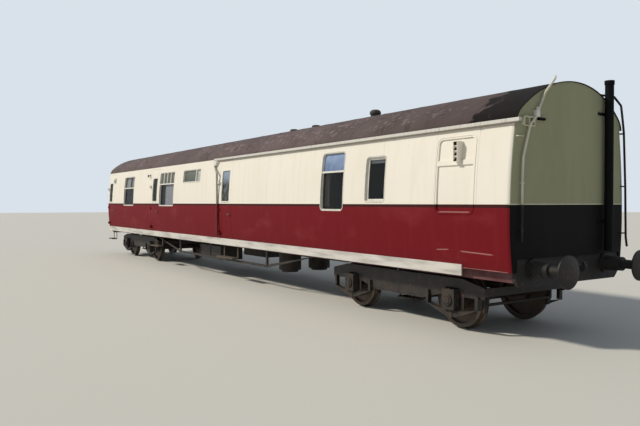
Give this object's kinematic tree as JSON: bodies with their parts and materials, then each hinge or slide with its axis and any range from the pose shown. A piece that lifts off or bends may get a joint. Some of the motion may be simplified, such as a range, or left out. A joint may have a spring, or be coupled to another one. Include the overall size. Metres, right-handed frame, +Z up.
{
  "type": "passenger railway coach",
  "caption": "Full-length bogie passenger coach with a curved steel body, outward-opening side doors, plated and glazed windows, swivelling leaf-sprung bogies and turning wheelsets.",
  "frame": {"origin": "on the floor plane that the wheel flanges touch, under the middle of the coach", "axes": "+X along the coach to the end with the vent stack, +Y to the left side, +Z up"},
  "size_m": [20.7806, 2.8552, 3.9318],
  "materials": {
    "body_paint": "gloss coach enamel, faded",
    "roof_felt": "weathered bitumen felt",
    "end_paint": "matt black enamel",
    "window_white": "white gloss",
    "glass": "window glass",
    "underframe_black": "grimy black",
    "cast_black": "grimy cast iron and steel",
    "wheel_steel": "worn tyre steel",
    "board_white": "painted board",
    "wood": "varnished timber",
    "floor_lino": "linoleum",
    "pipe_plastic": "grey plastic pipe",
    "curtain": "cotton curtain",
    "hinge_steel": "painted steel hinges"
  },
  "bodies": {
    "coach_body": {"solebars": "underframe_black", "headstocks": "underframe_black", "cross_members": "underframe_black", "floor": "floor_lino", "side_right": "body_paint", "side_left": "body_paint", "door_sills": "body_paint", "cantrails": "body_paint", "end_walls": "end_paint", "roof": "roof_felt", "rainwater_goods": "pipe_plastic", "roof_vents": "cast_black", "window_frames": "window_white", "window_glass": "glass", "plated_windows": "body_paint", "skirt_board": "board_white", "end_pipes": "end_paint", "vent_stack": "end_paint", "buffer_housings": "cast_black", "buffer_heads": "wheel_steel", "draw_hooks": "cast_black", "trusses": "underframe_black", "battery_boxes": "underframe_black", "vacuum_cylinders": "cast_black", "footboards": "wood", "partitions": "wood", "bench_lockers": "wood", "curtains": "curtain", "door_hinges": "hinge_steel"},
    "bogie_a": {"bogie_sides_a": "underframe_black", "bogie_transoms_a": "underframe_black", "bogie_bolster_a": "cast_black", "spring_plank_a": "cast_black", "axleboxes_a": "cast_black", "leaf_springs_a": "cast_black", "brake_gear_a": "cast_black"},
    "wheelset_a1": {"wheelset_a1": "wheel_steel"},
    "wheelset_a2": {"wheelset_a2": "wheel_steel"},
    "bogie_b": {"bogie_sides_b": "underframe_black", "bogie_transoms_b": "underframe_black", "bogie_bolster_b": "cast_black", "spring_plank_b": "cast_black", "axleboxes_b": "cast_black", "leaf_springs_b": "cast_black", "brake_gear_b": "cast_black"},
    "wheelset_b1": {"wheelset_b1": "wheel_steel"},
    "wheelset_b2": {"wheelset_b2": "wheel_steel"},
    "door_right_1": {"door_right_1": "body_paint", "door_glass_right_1": "glass"},
    "door_right_2": {"door_right_2": "body_paint", "door_glass_right_2": "glass"},
    "door_right_3": {"door_right_3": "body_paint", "door_glass_right_3": "glass"},
    "door_left_1": {"door_left_1": "body_paint", "door_glass_left_1": "glass"},
    "door_left_2": {"door_left_2": "body_paint", "door_glass_left_2": "glass"},
    "door_left_3": {"door_left_3": "body_paint", "door_glass_left_3": "glass"}
  },
  "joints": [
    {"name": "bogie_a_swivel", "type": "hinge", "parent": "coach_body", "child": "bogie_a", "pos_m": [7.085, 0, 0.848], "axis": [0, 0, 1], "range_deg": [-5, 5]},
    {"name": "wheelset_a1_spin", "type": "hinge", "parent": "bogie_a", "child": "wheelset_a1", "pos_m": [8.38, 0, 0.485], "axis": [0, 1, 0], "continuous": true},
    {"name": "wheelset_a2_spin", "type": "hinge", "parent": "bogie_a", "child": "wheelset_a2", "pos_m": [5.79, 0, 0.485], "axis": [0, 1, 0], "continuous": true},
    {"name": "bogie_b_swivel", "type": "hinge", "parent": "coach_body", "child": "bogie_b", "pos_m": [-7.085, 0, 0.848], "axis": [0, 0, 1], "range_deg": [-5, 5]},
    {"name": "wheelset_b1_spin", "type": "hinge", "parent": "bogie_b", "child": "wheelset_b1", "pos_m": [-5.79, 0, 0.485], "axis": [0, 1, 0], "continuous": true},
    {"name": "wheelset_b2_spin", "type": "hinge", "parent": "bogie_b", "child": "wheelset_b2", "pos_m": [-8.38, 0, 0.485], "axis": [0, 1, 0], "continuous": true},
    {"name": "door_right_1_hinge", "type": "hinge", "parent": "coach_body", "child": "door_right_1", "pos_m": [0.525, -1.3895, 1.8], "axis": [0, 0, -1], "range_deg": [0, 85]},
    {"name": "door_right_2_hinge", "type": "hinge", "parent": "coach_body", "child": "door_right_2", "pos_m": [-4.762, -1.3895, 1.8], "axis": [0, 0, -1], "range_deg": [0, 85]},
    {"name": "door_right_3_hinge", "type": "hinge", "parent": "coach_body", "child": "door_right_3", "pos_m": [-9.672, -1.3895, 1.8], "axis": [0, 0, -1], "range_deg": [0, 85]},
    {"name": "door_left_1_hinge", "type": "hinge", "parent": "coach_body", "child": "door_left_1", "pos_m": [1.219, 1.3895, 1.8], "axis": [0, 0, -1], "range_deg": [0, 85]},
    {"name": "door_left_2_hinge", "type": "hinge", "parent": "coach_body", "child": "door_left_2", "pos_m": [-4.068, 1.3895, 1.8], "axis": [0, 0, -1], "range_deg": [0, 85]},
    {"name": "door_left_3_hinge", "type": "hinge", "parent": "coach_body", "child": "door_left_3", "pos_m": [-8.978, 1.3895, 1.8], "axis": [0, 0, -1], "range_deg": [0, 85]}
  ]
}
